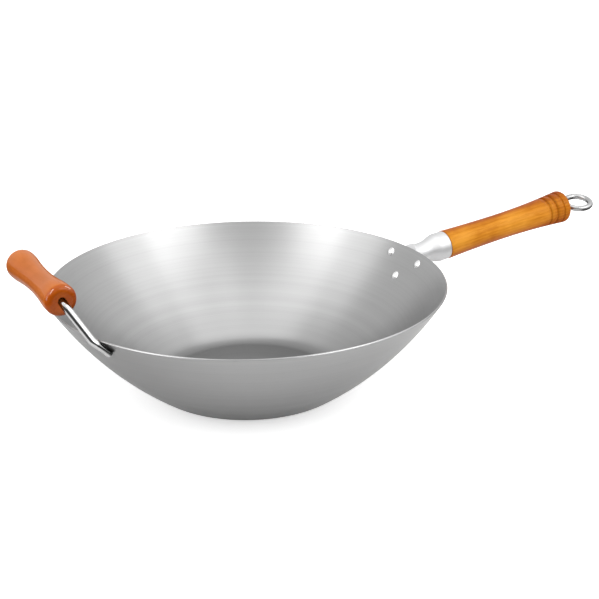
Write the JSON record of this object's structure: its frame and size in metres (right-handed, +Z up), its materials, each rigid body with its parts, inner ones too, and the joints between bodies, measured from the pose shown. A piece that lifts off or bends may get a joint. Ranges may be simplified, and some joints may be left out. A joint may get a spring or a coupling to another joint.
{
  "type": "flat-bottomed wok",
  "caption": "Flat-bottomed steel wok with a long turned wooden handle that ends in a hanging eye, and a wooden helper grip on a bent rod.",
  "frame": {"origin": "centre of the flat underside, on the surface that the wok stands on", "axes": "+Z up, +X from the bowl's centre along the long handle"},
  "size_m": [0.6146, 0.3599, 0.1466],
  "materials": {
    "bowl_steel": "turned satin, brushed round the bowl",
    "cast_socket": "satin casting",
    "rivet_steel": "bright",
    "handle_wood": "clear gloss lacquer on honey-coloured wood, grain lengthwise",
    "plated_rod": "bright plated",
    "grip_wood": "clear gloss lacquer on reddish wood"
  },
  "bodies": {
    "root": {"wok_bowl": "bowl_steel", "handle_socket": "cast_socket", "rivet_left": "rivet_steel", "rivet_right": "rivet_steel", "rivet_lower": "rivet_steel", "long_handle": "handle_wood", "hanging_eye_rod": "plated_rod", "helper_rod": "plated_rod", "helper_grip": "grip_wood"}
  },
  "joints": []
}
